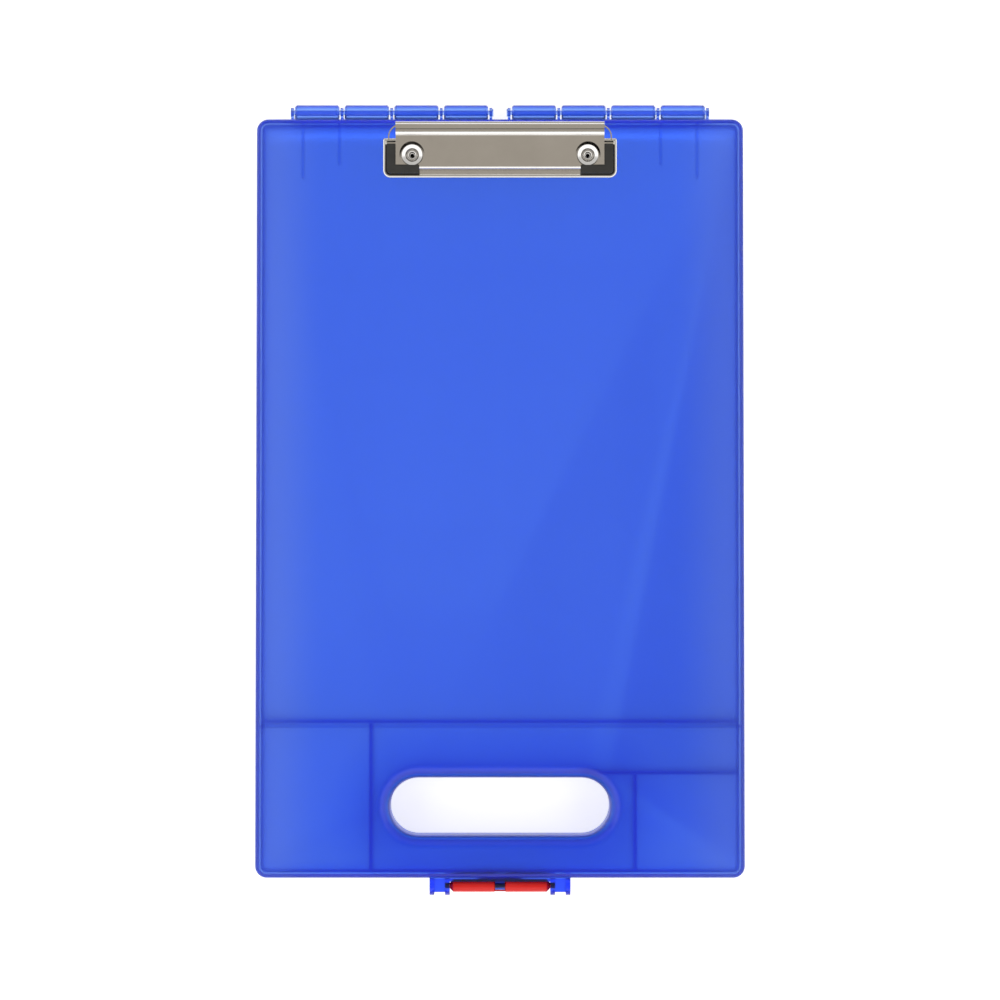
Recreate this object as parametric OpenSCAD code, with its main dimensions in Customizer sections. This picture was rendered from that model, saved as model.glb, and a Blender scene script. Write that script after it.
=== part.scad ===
// Storage clipboard box: a shallow hinged case for letter paper with a clip on its lid.
// It lies on its back: +X is the width, +Y points to the hinge and clip, +Z is up.
// The origin is the centre of the tray's underside. Millimetres.

/* [Case] */
// Width of the case
case_w = 254; // [248:1:280]
// Length of the case without hinge and latch
case_l = 395; // [380:1:420]
// Height of the tray up to the parting line
tray_h = 20; // [19:0.5:30]
// Height of the lid above the parting line
lid_h = 8; // [7.5:0.5:12]
// Corner radius seen from above
corner_r = 6; // [5:0.5:12]
// Rounding of the lid's upper outer edge
lid_edge_r = 3; // [1:0.5:4]
// Rounding of the tray's lower outer edge
tray_edge_r = 4; // [1:0.5:4.5]
// Thickness of the side walls
wall_t = 2.4; // [2:0.1:2.8]
// Thickness of the writing board
board_t = 2.2; // [1.8:0.1:3]
// Thickness of the tray's floor
floor_t = 2.2; // [1.8:0.1:3]
// Gap between lid and tray at the parting line
parting_gap = 0.3; // [0.2:0.05:0.6]
// Thickness of the tongue that locates the lid
tongue_t = 1.3; // [1:0.1:2]
// Height of the tongue above the parting line
tongue_h = 1.5; // [1:0.1:2]
// Depth of the shoulder that carries the tongue
tongue_root = 3; // [2:0.5:5]
// Side clearance of the tongue inside the lid
tongue_gap = 0.3; // [0.25:0.05:0.6]

/* [Compartments] */
// Distance of the cross divider from the latch side
divider_from_front = 80.7; // [78:0.1:110]
// Thickness of the divider walls
divider_t = 2; // [1.4:0.1:3]
// Gap between the divider walls and the parting line
divider_drop = 0.5; // [0.3:0.1:3]
// Width of the left bay from the case's side to its wall
left_bay_w = 59.8; // [40:0.5:62]
// Width of the right bay from the case's side to its wall
right_bay_w = 56.7; // [40:0.5:60]
// Distance of the right bay's upper wall above the handle hole
shelf_over_handle = 2.5; // [1.5:0.1:5]
// Thickness of the ribs under the board
rib_t = 1.2; // [0.8:0.1:2]
// Depth of the ribs under the board
rib_h = 3.5; // [2:0.1:3.8]
// Gap between the cross divider and the rib beside it
rib_gap = 0.7; // [0.4:0.1:2]
// Distance of the inner hinge ribs from the middle
inner_rib_x = 84; // [70:1:95]
// Length of the inner hinge ribs
inner_rib_l = 21; // [10:1:40]
// Distance of the outer hinge ribs from the middle
outer_rib_x = 103; // [98:1:112]
// Length of the outer hinge ribs
outer_rib_l = 28; // [10:1:40]

/* [Handle] */
// Length of the handle hole
handle_w = 114.4; // [90:0.1:118]
// Height of the handle hole
handle_h = 29.8; // [24:0.1:32]
// Distance of the handle hole's centre from the latch side
handle_from_front = 36.7; // [36:0.1:42]
// Radius of the rolled edge round the handle hole
handle_roll = 7; // [4:0.5:7]
// Wall thickness round the handle hole
collar_t = 2.2; // [1.6:0.1:2.6]

/* [Hinge] */
// Number of knuckles in each of the two groups
knuckles = 4; // [2:1:4]
// Length of one knuckle
knuckle_w = 23; // [18:0.5:24]
// Outer radius of a knuckle
knuckle_r = 3.9; // [3.2:0.1:4.2]
// Chamfer on the ends of a knuckle
knuckle_chamfer = 0.8; // [0.3:0.1:1.2]
// Thickness of a hinge ear
ear_t = 1.4; // [1:0.1:2]
// Radius of a hinge ear
ear_r = 2.5; // [1.9:0.1:2.8]
// Height of the gusset that carries a hinge ear
ear_gusset = 8; // [5:0.5:12]
// Gap between a knuckle and the ear beside it
knuckle_gap = 0.8; // [0.4:0.1:1]
// Free space between the two groups
hinge_gap = 8.2; // [4:0.1:12]
// Gap between a knuckle and the case's back
hinge_back_gap = 0.4; // [0.3:0.05:0.8]
// Radius of a hinge rod
rod_r = 1.2; // [0.8:0.05:1.5]
// Radius of the round head on a hinge rod
rod_head_r = 1.9; // [1.7:0.1:2.2]
// Thickness of the head on a hinge rod
rod_head_t = 0.6; // [0.4:0.1:1]

/* [Latch] */
// Free width between the latch ears
latch_bay_w = 52.2; // [40:0.1:64]
// Gap at each end of the latch
latch_gap = 0.4; // [0.3:0.05:0.8]
// Radius of the latch barrel
latch_r = 3.3; // [3.1:0.1:3.6]
// Chamfer on the ends of the latch
latch_chamfer = 1.5; // [0.5:0.1:2]
// Distance of the latch pivot from the case's front
latch_out = 4.2; // [4:0.1:5]
// Height of the latch pivot above the parting line
latch_up = 2.6; // [2.4:0.1:2.9]
// Length of the latch plate below its pivot
latch_l = 17.8; // [17:0.1:18.5]
// Thickness of the latch plate
latch_t = 2.4; // [1.8:0.1:2.8]
// Radius of the latch axle
axle_r = 1.5; // [1.1:0.05:1.6]
// Width of a latch ear
latch_ear_w = 10.4; // [8:0.1:14]
// Radius of a latch ear
latch_ear_r = 4.9; // [4.2:0.1:4.9]
// Thickness of a latch ear's two side walls
latch_ear_t = 2.4; // [1.6:0.1:3]
// Thickness of the web over a latch ear
latch_web_t = 1.3; // [1:0.1:1.8]
// Width of the tab that holds the latch in its middle
tab_w = 5; // [4:0.1:8]
// Radius of that tab
tab_r = 2.3; // [2.1:0.1:2.6]
// Depth of the brow over the latch
brow_d = 1.8; // [1:0.1:2]
// Width of the latch hook
hook_w = 22; // [12:1:34]
// Height of the latch hook
hook_h = 2.6; // [1.6:0.1:3]
// Width of the catch on the tray
catch_w = 26; // [14:1:38]
// Height of the catch on the tray
catch_h = 2.6; // [1.6:0.1:3.5]
// Depth of the catch on the tray
catch_d = 1.5; // [0.8:0.1:1.8]
// Height of the catch's lower face above the ground
catch_z = 9.3; // [9.2:0.1:9.8]
// Gap between hook and catch at rest
catch_gap = 0.15; // [0.12:0.01:0.3]

/* [Clip] */
// Overall width of the clip's jaw
jaw_w = 122; // [118:0.5:140]
// Distance of the raised plate's ends from the jaw's sides
plate_inset = 6.8; // [6.4:0.1:7.4]
// Thickness of the sheet metal
sheet_t = 0.8; // [0.6:0.05:1]
// Distance of the clip's pivot from the case's back edge
pivot_in = 7.2; // [6.8:0.1:9]
// Height of the clip's pivot above the board
pivot_up = 5.5; // [5.2:0.1:6.5]
// Radius of the clip's pin
pin_r = 1.2; // [1:0.05:1.25]
// Outer radius of the rolled hood round the pin
hood_r = 3; // [2.9:0.05:3.2]
// Height of the jaw plate's top above the board
plate_up = 6.9; // [6.7:0.1:7.5]
// Distance from the pivot to the plate's front bend
plate_l = 20.2; // [18:0.1:21]
// Distance from the pivot to the jaw's front edge
jaw_l = 24.3; // [23.8:0.1:25]
// Gap between the closed jaw and the clip's base
jaw_gap = 0.35; // [0.3:0.05:0.6]
// Corner radius of the jaw's rim
rim_r = 4; // [3:0.5:5]
// Radius of the rolled hem round the rim
hem_r = 1.05; // [0.8:0.05:1.2]
// Distance from the pivot to the back ends of the jaw's side rims
side_rim_gap = 3.5; // [3.3:0.1:5]
// Radius of the cheeks that join the side rims to the hood
cheek_r = 6.6; // [6.4:0.05:6.8]
// Distance of the cheeks' roots from the jaw's sides
cheek_in = 2.8; // [2.4:0.1:3]
// Height of the cheeks
cheek_h = 2.2; // [1.5:0.1:2.4]
// Thickness of the cheeks
cheek_t = 0.7; // [0.5:0.05:0.8]
// Radius of the holes over the rivets
rivet_hole_r = 6.4; // [5.6:0.1:6.6]
// Distance from the pivot to the rivets
rivet_in = 12.2; // [11.4:0.1:12.6]
// Distance of a rivet from the end of the raised plate
rivet_from_end = 8.45; // [8:0.05:14]
// Radius of a rivet's rolled head
rivet_head_r = 3.4; // [2.8:0.1:3.6]
// Radius of a rivet's shank
rivet_r = 2.1; // [1.8:0.1:2.3]
// Radius of a rivet's bore
rivet_bore_r = 1.4; // [1:0.1:1.5]
// Radius of the dimple in a rivet's head
dimple_r = 2.2; // [1.6:0.1:2.4]
// Depth of that dimple
dimple_d = 0.5; // [0.3:0.05:0.6]
// Height of a rivet's heads
rivet_head_t = 1; // [0.7:0.1:1.1]
// Thickness of the clip's base plate
base_t = 1; // [0.8:0.05:1.2]
// Inset of the clip's base from the jaw's sides and front
base_inset = 2; // [1:0.1:3]
// Gap between the jaw's bearings and the ears of the clip's base
clip_ear_gap = 0.4; // [0.3:0.05:0.8]
// Radius of the ears of the clip's base
clip_ear_r = 1.8; // [1.65:0.05:1.85]
// Outer radius of the pressed ring round each rivet
emboss_r = 5.3; // [5:0.1:5.5]
// Height of the pressed ring round each rivet
emboss_h = 1.2; // [0.8:0.1:1.3]
// Reach of the lever lip behind the pivot
lever_l = 4.3; // [4:0.1:6]
// Rise of the lever lip above the pivot
lever_up = 2.9; // [2.6:0.1:3.4]
// Radius of the rolled edge of the lever lip
lever_edge_r = 0.75; // [0.5:0.05:0.9]
// Wire radius of the clip's springs
wire_r = 0.3; // [0.2:0.02:0.34]
// Number of turns in a spring
spring_turns = 9; // [4:1:12]
// Length of one grip's leg along the side
grip_side_l = 15.4; // [10:0.2:16]
// Length of one grip's leg along the front
grip_front_l = 17; // [12:0.2:18]
// Reach of a grip's front leg over the plate's front bend
grip_inset = 2.3; // [0.5:0.1:2.4]

/* [Hidden] */
$fn = 48;
// Number of sides where a round is only a small trim
wire_sides = 6;
wire_steps = 14;
eps = 0.01;
overlap = 0.4;
running_fit = 0.05;
press_fit = 0.02;

inner_w = case_w - 2 * wall_t;
inner_l = case_l - 2 * wall_t;
inner_r = max(corner_r - wall_t, 1);
top_z = tray_h + lid_h;
board_z = top_z - board_t;
tray_top = tray_h - parting_gap / 2;
lid_bottom = tray_h + parting_gap / 2;
front_y = -case_l / 2;
back_y = case_l / 2;

hinge_y = back_y + knuckle_r + hinge_back_gap;
hinge_z = tray_h;
ear_pitch = knuckle_w + ear_t + 2 * knuckle_gap;
first_ear_x = hinge_gap / 2 + ear_t / 2;
group_l = knuckles * ear_pitch + ear_t;
rod_mid_x = hinge_gap / 2 + group_l / 2;

handle_y = front_y + handle_from_front;
handle_r = handle_h / 2;
handle_straight = handle_w - handle_h;
divider_y = front_y + divider_from_front;
shelf_y = handle_y + handle_r + shelf_over_handle;
left_wall_x = -case_w / 2 + left_bay_w;
right_wall_x = case_w / 2 - right_bay_w;
divider_h = tray_h - divider_drop;
rib_y = divider_y - divider_t / 2 - rib_gap - rib_t / 2;

latch_y = front_y - latch_out;
latch_z = tray_h + latch_up;
latch_w = latch_bay_w - 2 * latch_gap;
latch_root = latch_out + wall_t * 0.7;
hook_top = catch_z - latch_z - 2 * catch_gap;

plate_w = jaw_w - 2 * plate_inset;
pivot_y = back_y - pivot_in;
pivot_z = top_z + pivot_up;
plate_top = top_z + plate_up;
base_top = top_z + base_t;
rim_bottom = base_top + jaw_gap;
rim_top = rim_bottom + sheet_t;
hem_z = rim_bottom + hem_r;
jaw_front_y = pivot_y - jaw_l;
plate_front_y = pivot_y - plate_l;
rim_back_y = pivot_y - side_rim_gap;
bend_r = 1.8;
lever_root_tilt = 20;
rivet_y = pivot_y - rivet_in;
rivet_span = plate_w - 2 * rivet_from_end;
hood_in = hood_r - sheet_t;
bearing_t = 1.2;
base_w = jaw_w - 2 * base_inset;
clip_ear_x = plate_w / 2 - bearing_t - clip_ear_gap - sheet_t / 2;
rim_l = rim_back_y - jaw_front_y;
grip_from_x = jaw_w / 2 - 2 * hem_r - grip_front_l;
spring_mean_r = pin_r + running_fit + 0.08 + wire_r;
spring_pitch = 2 * wire_r + 0.12;
spring_l = (spring_turns + 0.5) * spring_pitch;
spring_x = clip_ear_x - sheet_t / 2 - 0.5 - spring_l / 2;

// ---- shared shapes ----

// Rectangle with round corners, centred.
module round_rect(w, l, r) {
    square([w - 2 * r, l], center = true);
    square([w, l - 2 * r], center = true);
    for (x = [-1, 1], y = [-1, 1])
        translate([x * (w / 2 - r), y * (l / 2 - r)])
            circle(r);
}

// Stadium outline, straight part along X.
module stadium(straight, r) {
    square([straight, 2 * r], center = true);
    for (x = [-1, 1])
        translate([x * straight / 2, 0])
            circle(r);
}

// Upright strip of width d and height h whose outer upper corner has radius e.
module edge_profile(d, h, e) {
    square([d - e, h]);
    square([d, h - e]);
    intersection() {
        translate([d - e, h - e])
            circle(e);
        square([d, h]);
    }
}

// Block with plan corners of radius r and an upper edge rounded by e, standing on z = 0.
module soft_block(w, l, h, r, e) {
    flat_x = w / 2 - r;
    flat_y = l / 2 - r;
    translate([-flat_x, -flat_y, 0])
        cube([2 * flat_x, 2 * flat_y, h]);
    for (turn = [0, 1])
        mirror([turn, 0, 0])
            translate([flat_x, flat_y, 0])
                rotate([90, 0, 0])
                    linear_extrude(2 * flat_y)
                        edge_profile(r, h, e);
    for (turn = [0, 1])
        mirror([0, turn, 0])
            translate([-flat_x, flat_y, 0])
                rotate([90, 0, 90])
                    linear_extrude(2 * flat_x)
                        edge_profile(r, h, e);
    for (x = [0, 1], y = [0, 1])
        mirror([x, 0, 0])
            mirror([0, y, 0])
                translate([flat_x, flat_y, 0])
                    rotate_extrude(angle = 90)
                        edge_profile(r, h, e);
}

// Profile of the rolled wall round the handle hole: out is the hole's radius.
module roll_profile(h) {
    difference() {
        union() {
            square([handle_roll, h - handle_roll]);
            intersection() {
                translate([handle_roll, h - handle_roll])
                    circle(handle_roll);
                square([handle_roll, h]);
            }
        }
        translate([collar_t, -1])
            square([handle_roll, h - handle_roll + 1]);
        translate([handle_roll, h - handle_roll])
            circle(handle_roll - collar_t);
    }
    translate([handle_roll - eps, h - collar_t])
        square([overlap, collar_t]);
}

// Wall round the handle hole that rolls over into the face at height h.
module handle_collar(h) {
    for (side = [0, 1])
        mirror([0, side, 0])
            translate([-handle_straight / 2, handle_r, 0])
                rotate([90, 0, 90])
                    linear_extrude(handle_straight)
                        roll_profile(h);
    for (side = [0, 1])
        mirror([side, 0, 0])
            translate([handle_straight / 2, 0, 0])
                rotate([0, 0, -90])
                    rotate_extrude(angle = 180)
                        translate([handle_r, 0])
                            roll_profile(h);
}

// Solid along X through a point of the hinge or latch line.
module along_x(width, y, z) {
    translate([-width / 2, y, z])
        rotate([90, 0, 90])
            linear_extrude(width)
                children();
}

// Bar along X with chamfered ends.
module chamfered_bar(r, width, c) {
    rotate([0, 90, 0])
        rotate_extrude()
            polygon([[0, -width / 2], [r - c, -width / 2], [r, -width / 2 + c],
                [r, width / 2 - c], [r - c, width / 2], [0, width / 2]]);
}

// Places of the ears and knuckles of both groups.
function ear_xs() = [for (s = [-1, 1], i = [0 : knuckles]) s * (first_ear_x + i * ear_pitch)];
function knuckle_xs() = [for (s = [-1, 1], i = [0 : knuckles - 1])
    s * (first_ear_x + (i + 0.5) * ear_pitch)];

// ---- tray ----

module tray_walls() {
    difference() {
        translate([0, 0, tray_top])
            mirror([0, 0, 1])
                soft_block(case_w, case_l, tray_top, corner_r, tray_edge_r);
        translate([0, 0, tray_top + 1])
            mirror([0, 0, 1])
                soft_block(inner_w, inner_l, tray_top + 1 - floor_t, inner_r, inner_r / 2);
        translate([0, handle_y, -1])
            linear_extrude(tray_h)
                stadium(handle_straight, handle_r + handle_roll);
    }
}

module tongue() {
    side = tongue_gap + tongue_t;
    difference() {
        union() {
            translate([0, 0, tray_h - tongue_root])
                linear_extrude(tongue_root - parting_gap / 2)
                    round_rect(inner_w + overlap, inner_l + overlap, inner_r);
            translate([0, 0, tray_h - tongue_root])
                linear_extrude(tongue_root + tongue_h)
                    round_rect(inner_w - 2 * tongue_gap, inner_l - 2 * tongue_gap, inner_r);
        }
        translate([0, 0, tray_h - tongue_root - 1])
            linear_extrude(tongue_root + tongue_h + 2)
                round_rect(inner_w - 2 * side, inner_l - 2 * side, max(inner_r - side, 1));
    }
}

module tray_dividers() {
    wall_h = divider_h - floor_t + overlap;
    reach = inner_w / 2 + overlap;
    translate([-reach, divider_y - divider_t / 2, floor_t - overlap])
        cube([2 * reach, divider_t, wall_h]);
    bay_l = divider_y - front_y - wall_t;
    translate([left_wall_x - divider_t / 2, front_y + wall_t - overlap, floor_t - overlap])
        cube([divider_t, bay_l + overlap, wall_h]);
    translate([right_wall_x - divider_t / 2, front_y + wall_t - overlap, floor_t - overlap])
        cube([divider_t, shelf_y - front_y - wall_t + overlap, wall_h]);
    translate([handle_straight / 2, shelf_y - divider_t / 2, floor_t - overlap])
        cube([reach - handle_straight / 2, divider_t, wall_h]);
}

module hinge_ear() {
    difference() {
        along_x(ear_t, hinge_y, hinge_z) {
            circle(ear_r);
            polygon([[-knuckle_r - hinge_back_gap - overlap, -overlap], [0, -overlap],
                [ear_r * cos(45), -ear_r * sin(45)],
                [-knuckle_r - hinge_back_gap - overlap, -ear_gusset]]);
        }
        along_x(ear_t + 2, hinge_y, hinge_z)
            circle(rod_r + press_fit);
    }
}

module latch_catch() {
    along_x(catch_w, front_y, catch_z)
        polygon([[overlap, 0], [-catch_d, 0], [-catch_d, catch_h / 2],
            [-catch_d / 3, catch_h], [overlap, catch_h]]);
}

module tray() {
    color("royalblue") {
        tray_walls();
        tongue();
        difference() {
            tray_dividers();
            translate([0, handle_y, -1])
                linear_extrude(top_z)
                    stadium(handle_straight, handle_r + collar_t / 2);
        }
        translate([0, handle_y, tray_top])
            mirror([0, 0, 1])
                handle_collar(tray_top);
        for (x = ear_xs())
            translate([x, 0, 0])
                hinge_ear();
        latch_catch();
    }
}

// ---- lid ----

module lid_shell() {
    shell_h = top_z - lid_bottom;
    difference() {
        translate([0, 0, lid_bottom])
            soft_block(case_w, case_l, shell_h, corner_r, lid_edge_r);
        translate([0, 0, lid_bottom - 1])
            soft_block(inner_w, inner_l, shell_h + 1 - board_t, inner_r, inner_r / 4);
        translate([0, handle_y, lid_bottom - 1])
            linear_extrude(lid_h + 2)
                stadium(handle_straight, handle_r + handle_roll);
        for (x = [-1, 1])
            translate([x * rivet_span / 2, rivet_y, board_z - 1])
                cylinder(r = rivet_r, h = board_t + 2);
    }
}

module knuckle() {
    web_top = knuckle_r * 0.8;
    web_bottom = parting_gap / 2;
    root = knuckle_r + hinge_back_gap + overlap;
    difference() {
        union() {
            translate([0, hinge_y, hinge_z])
                chamfered_bar(knuckle_r, knuckle_w, knuckle_chamfer);
            translate([-knuckle_w / 2, hinge_y - root, hinge_z + web_bottom])
                cube([knuckle_w, root, web_top - web_bottom]);
        }
        along_x(knuckle_w + 2, hinge_y, hinge_z)
            circle(rod_r + running_fit);
    }
}

// Side wall of a latch ear: a round cheek with a root that runs into the lid.
module latch_cheek(x, bored) {
    root_top = latch_ear_r - overlap;
    root_bottom = lid_bottom - latch_z;
    translate([x, 0, 0])
        difference() {
            along_x(latch_ear_t, latch_y, latch_z) {
                intersection() {
                    circle(latch_ear_r);
                    translate([-latch_ear_r, -latch_ear_r])
                        square([latch_ear_r + latch_out - parting_gap, 2 * latch_ear_r]);
                }
                translate([0, root_bottom])
                    square([latch_root, root_top - root_bottom]);
            }
            if (bored)
                along_x(latch_ear_t + 2, latch_y, latch_z)
                    circle(axle_r + running_fit);
        }
}

module latch_ear() {
    inner_x = latch_bay_w / 2 + latch_ear_t / 2;
    outer_x = latch_bay_w / 2 + latch_ear_w - latch_ear_t / 2;
    web_top = latch_ear_r - overlap;
    latch_cheek(inner_x, true);
    latch_cheek(outer_x, false);
    translate([inner_x, latch_y - latch_ear_r * 0.6, latch_z + web_top - latch_web_t])
        cube([outer_x - inner_x, latch_ear_r * 0.6 + latch_root, latch_web_t]);
}

// Snap tab that holds the latch axle in its middle.
module latch_tab() {
    difference() {
        along_x(tab_w, latch_y, latch_z) {
            circle(tab_r);
            translate([0, -tab_r * 0.3])
                square([latch_root, tab_r * 1.1]);
        }
        along_x(tab_w + 2, latch_y, latch_z)
            circle(axle_r + running_fit);
    }
}

module latch_brow() {
    brow_top = latch_ear_r - overlap;
    translate([-latch_bay_w / 2 - overlap, front_y - brow_d, latch_z + brow_top - latch_web_t])
        cube([latch_bay_w + 2 * overlap, brow_d + latch_root - latch_out, latch_web_t]);
}

module board_ribs() {
    rib_z = board_z - rib_h;
    reach = inner_w / 2 + overlap;
    translate([-reach, rib_y - rib_t / 2, rib_z])
        cube([2 * reach, rib_t, rib_h + overlap]);
    for (side = [-1, 1], rib = [[inner_rib_x, inner_rib_l], [outer_rib_x, outer_rib_l]])
        translate([side * rib[0] - rib_t / 2, inner_l / 2 - rib[1], rib_z])
            cube([rib_t, rib[1] + overlap, rib_h + overlap]);
}

module lid() {
    color("royalblue") {
        lid_shell();
        board_ribs();
        translate([0, handle_y, lid_bottom])
            handle_collar(top_z - lid_bottom);
        for (x = knuckle_xs())
            translate([x, 0, 0])
                knuckle();
        for (side = [0, 1])
            mirror([side, 0, 0])
                latch_ear();
        latch_tab();
        latch_brow();
    }
}

// ---- hinge rods ----

module hinge_rod() {
    head_in = hinge_gap / 2 - rod_head_t;
    translate([0, hinge_y, hinge_z])
        rotate([0, 90, 0]) {
            translate([0, 0, head_in])
                cylinder(r = rod_r, h = group_l + rod_head_t);
            translate([0, 0, head_in])
                cylinder(r = rod_head_r, h = rod_head_t);
        }
}

module hinge_rod_right() {
    color("mediumblue")
        hinge_rod();
}

module hinge_rod_left() {
    color("mediumblue")
        mirror([1, 0, 0])
            hinge_rod();
}

// ---- latch ----

module latch() {
    notch_w = tab_w + 2 * latch_gap;
    notch_down = tab_r + latch_gap;
    axle_l = latch_bay_w + 2 * latch_ear_t;
    plate_in = latch_t - latch_r;
    color("firebrick") {
        difference() {
            union() {
                translate([0, latch_y, latch_z])
                    chamfered_bar(latch_r, latch_w, latch_chamfer);
                along_x(latch_w - 2 * latch_chamfer, latch_y, latch_z)
                    translate([-latch_r, -latch_l])
                        square([latch_t, latch_l]);
                along_x(hook_w, latch_y, latch_z)
                    polygon([[plate_in - overlap, hook_top], [latch_out - catch_d - catch_gap, hook_top],
                        [latch_out - catch_d - catch_gap, hook_top - hook_h / 3],
                        [plate_in - overlap, hook_top - hook_h]]);
            }
            translate([-notch_w / 2, latch_y - 2 * latch_r, latch_z - notch_down])
                cube([notch_w, 4 * latch_r, notch_down + 2 * latch_r]);
        }
        translate([0, latch_y, latch_z])
            rotate([0, 90, 0])
                cylinder(r = axle_r, h = axle_l, center = true);
    }
}

// ---- clip ----

// Ear of the clip's base, seen along the pin: an eye on a slanting root.
module clip_ear_profile() {
    circle(clip_ear_r);
    translate([-clip_ear_r, base_top - pivot_z - overlap])
        square([clip_ear_r * 0.95, pivot_z - base_top + overlap]);
}

// Pressed ring that stands up round a rivet, with a slope on both sides.
module emboss() {
    crest = (rivet_head_r + emboss_r) / 2;
    rotate_extrude()
        polygon([[rivet_head_r + 0.3, -overlap], [crest - 0.4, emboss_h], [crest + 0.4, emboss_h],
            [emboss_r, -overlap]]);
}

module clip_base() {
    plate_front = jaw_front_y + base_inset;
    plate_back = pivot_y + clip_ear_r;
    shoulder_y = rim_back_y - base_inset;
    color("lightgray") {
        difference() {
            translate([0, 0, top_z])
                linear_extrude(base_t) {
                    translate([0, (plate_front + shoulder_y) / 2])
                        round_rect(base_w, shoulder_y - plate_front, rim_r - base_inset / 2);
                    translate([0, (rivet_y + plate_back) / 2])
                        square([plate_w - base_inset, plate_back - rivet_y], center = true);
                }
            for (x = [-1, 1])
                translate([x * rivet_span / 2, rivet_y, top_z - 1])
                    cylinder(r = rivet_r, h = base_t + 2);
        }
        for (x = [-1, 1])
            translate([x * rivet_span / 2, rivet_y, base_top])
                emboss();
        for (x = [-1, 1])
            translate([x * clip_ear_x, 0, 0])
                difference() {
                    along_x(sheet_t, pivot_y, pivot_z)
                        clip_ear_profile();
                    along_x(sheet_t + 2, pivot_y, pivot_z)
                        circle(pin_r + press_fit);
                }
    }
}

// Rolled hood and lever lip, seen along the pin.
module hood_profile() {
    mouth = 2 * hood_r;
    lip_start = (hood_r - sheet_t / 2) * [sin(lever_root_tilt), cos(lever_root_tilt)];
    lip_end = [lever_l - lever_edge_r, lever_up];
    lip = lip_end - lip_start;
    difference() {
        circle(hood_r);
        circle(hood_in);
        polygon([[0, 0], [-mouth, -mouth * 0.25], [-mouth, -mouth], [mouth * 0.5, -mouth * 0.87]]);
    }
    translate(lip_start)
        rotate(atan2(lip[1], lip[0]))
            translate([0, -sheet_t / 2])
                square([norm(lip), sheet_t]);
    translate(lip_end)
        circle(lever_edge_r);
}

// Top plate, bend and foot of the jaw, seen along the pin.
module jaw_profile() {
    top = plate_up - pivot_up;
    foot = rim_bottom - pivot_z;
    translate([-plate_l + bend_r, top - sheet_t])
        square([plate_l - bend_r - hood_in - sheet_t / 2, sheet_t]);
    intersection() {
        difference() {
            translate([-plate_l + bend_r, top - bend_r])
                circle(bend_r);
            translate([-plate_l + bend_r, top - bend_r])
                circle(bend_r - sheet_t);
        }
        translate([-plate_l - eps, top - bend_r])
            square([bend_r + eps, bend_r + eps]);
    }
    translate([-plate_l, foot])
        square([sheet_t, top - bend_r - foot]);
}

// Outline of the jaw's foot inside a margin: open at the back, with two round front corners.
module foot_outline(margin) {
    intersection() {
        translate([0, jaw_front_y + rim_l])
            round_rect(jaw_w - 2 * margin, 2 * (rim_l - margin), rim_r - margin);
        translate([-jaw_w, jaw_front_y])
            square([2 * jaw_w, rim_l - margin]);
    }
}

// Rolled hem along the front and both sides of the foot, turned in at its two ends.
module hem() {
    front_w = jaw_w - 2 * rim_r;
    side_l = rim_l - rim_r - hem_r;
    side_x = jaw_w / 2 - hem_r;
    translate([-front_w / 2, jaw_front_y + hem_r, hem_z])
        rotate([0, 90, 0])
            cylinder(r = hem_r, h = front_w);
    for (side = [0, 1])
        mirror([side, 0, 0]) {
            translate([side_x, jaw_front_y + rim_r, hem_z])
                rotate([-90, 0, 0])
                    cylinder(r = hem_r, h = side_l);
            translate([side_x, rim_back_y - hem_r, hem_z])
                sphere(r = hem_r);
            translate([plate_w / 2 - overlap, rim_back_y - hem_r, hem_z])
                rotate([0, 90, 0])
                    cylinder(r = hem_r, h = side_x - plate_w / 2 + overlap);
            translate([front_w / 2, jaw_front_y + rim_r, hem_z])
                rotate([0, 0, -90])
                    rotate_extrude(angle = 90)
                        translate([rim_r - hem_r, 0])
                            circle(hem_r);
        }
}

// Low foot of the jaw round the raised plate.
module foot() {
    inside_w = plate_w - 2 * sheet_t;
    translate([0, 0, rim_bottom])
        linear_extrude(sheet_t)
            difference() {
                foot_outline(hem_r);
                translate([-inside_w / 2, plate_front_y + sheet_t])
                    square([inside_w, 2 * rim_l]);
            }
    hem();
}

// Thin curved wall from the end of a side rim to the back of the hood.
module cheek() {
    root_x = jaw_w / 2 - cheek_in;
    arc_y = rim_back_y + cheek_t / 2;
    arc_z = pivot_z - cheek_h;
    end_x = plate_w / 2 - overlap;
    translate([root_x - cheek_r, arc_y, arc_z])
        linear_extrude(cheek_h)
            intersection() {
                difference() {
                    circle(cheek_r);
                    circle(cheek_r - cheek_t);
                }
                translate([end_x - root_x + cheek_r, 0])
                    square(cheek_r);
            }
    translate([root_x - cheek_t, rim_back_y - hem_r, hem_z])
        cube([cheek_t, hem_r + cheek_t / 2, pivot_z - hem_z]);
}

module clip_jaw() {
    skirt_h = plate_top - rim_bottom - sheet_t / 2;
    color("silver") {
        difference() {
            union() {
                along_x(plate_w, pivot_y, pivot_z) {
                    hood_profile();
                    jaw_profile();
                }
                for (side = [0, 1])
                    mirror([side, 0, 0]) {
                        translate([plate_w / 2 - sheet_t, plate_front_y, rim_bottom])
                            cube([sheet_t, rim_back_y - plate_front_y, skirt_h]);
                        translate([plate_w / 2 - bearing_t, pivot_y, pivot_z])
                            rotate([0, 90, 0])
                                cylinder(r = hood_in + sheet_t / 2, h = bearing_t);
                        cheek();
                    }
            }
            for (x = [-1, 1])
                translate([x * rivet_span / 2, rivet_y, rim_bottom])
                    cylinder(r = rivet_hole_r, h = plate_up);
            for (side = [0, 1])
                mirror([side, 0, 0])
                    translate([grip_from_x, plate_front_y - 1, rim_top])
                        cube([plate_w, grip_inset + 1, plate_up]);
            along_x(plate_w + 2, pivot_y, pivot_z)
                circle(pin_r + running_fit);
        }
        foot();
    }
}

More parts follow.
